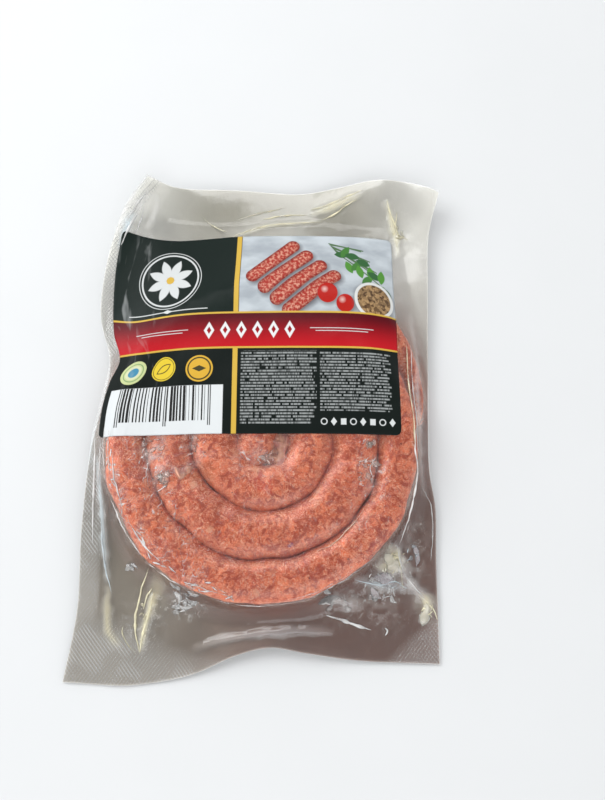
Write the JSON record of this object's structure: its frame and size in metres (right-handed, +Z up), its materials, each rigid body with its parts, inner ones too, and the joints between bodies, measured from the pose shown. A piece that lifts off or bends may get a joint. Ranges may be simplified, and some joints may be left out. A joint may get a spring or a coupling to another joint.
{
  "type": "vacuum-packed sausage coil",
  "caption": "Clear vacuum pouch drawn tight over a raw sausage string wound into a flat coil, with wide welded film flanges and a printed label over the upper half.",
  "frame": {"origin": "on the table under the middle of the pouch", "axes": "+Z up out of the front film, +X to the right and +Y up the label"},
  "size_m": [0.2004, 0.2758, 0.025],
  "materials": {
    "film": "clear glossy welded film, creased, with a fine embossed mesh along the side margins",
    "sausage": "raw coarse mince with pale fat in a thin moist casing",
    "label": "gloss printed label stock"
  },
  "bodies": {
    "root": {"pouch": "film", "label": "label"}
  },
  "joints": []
}
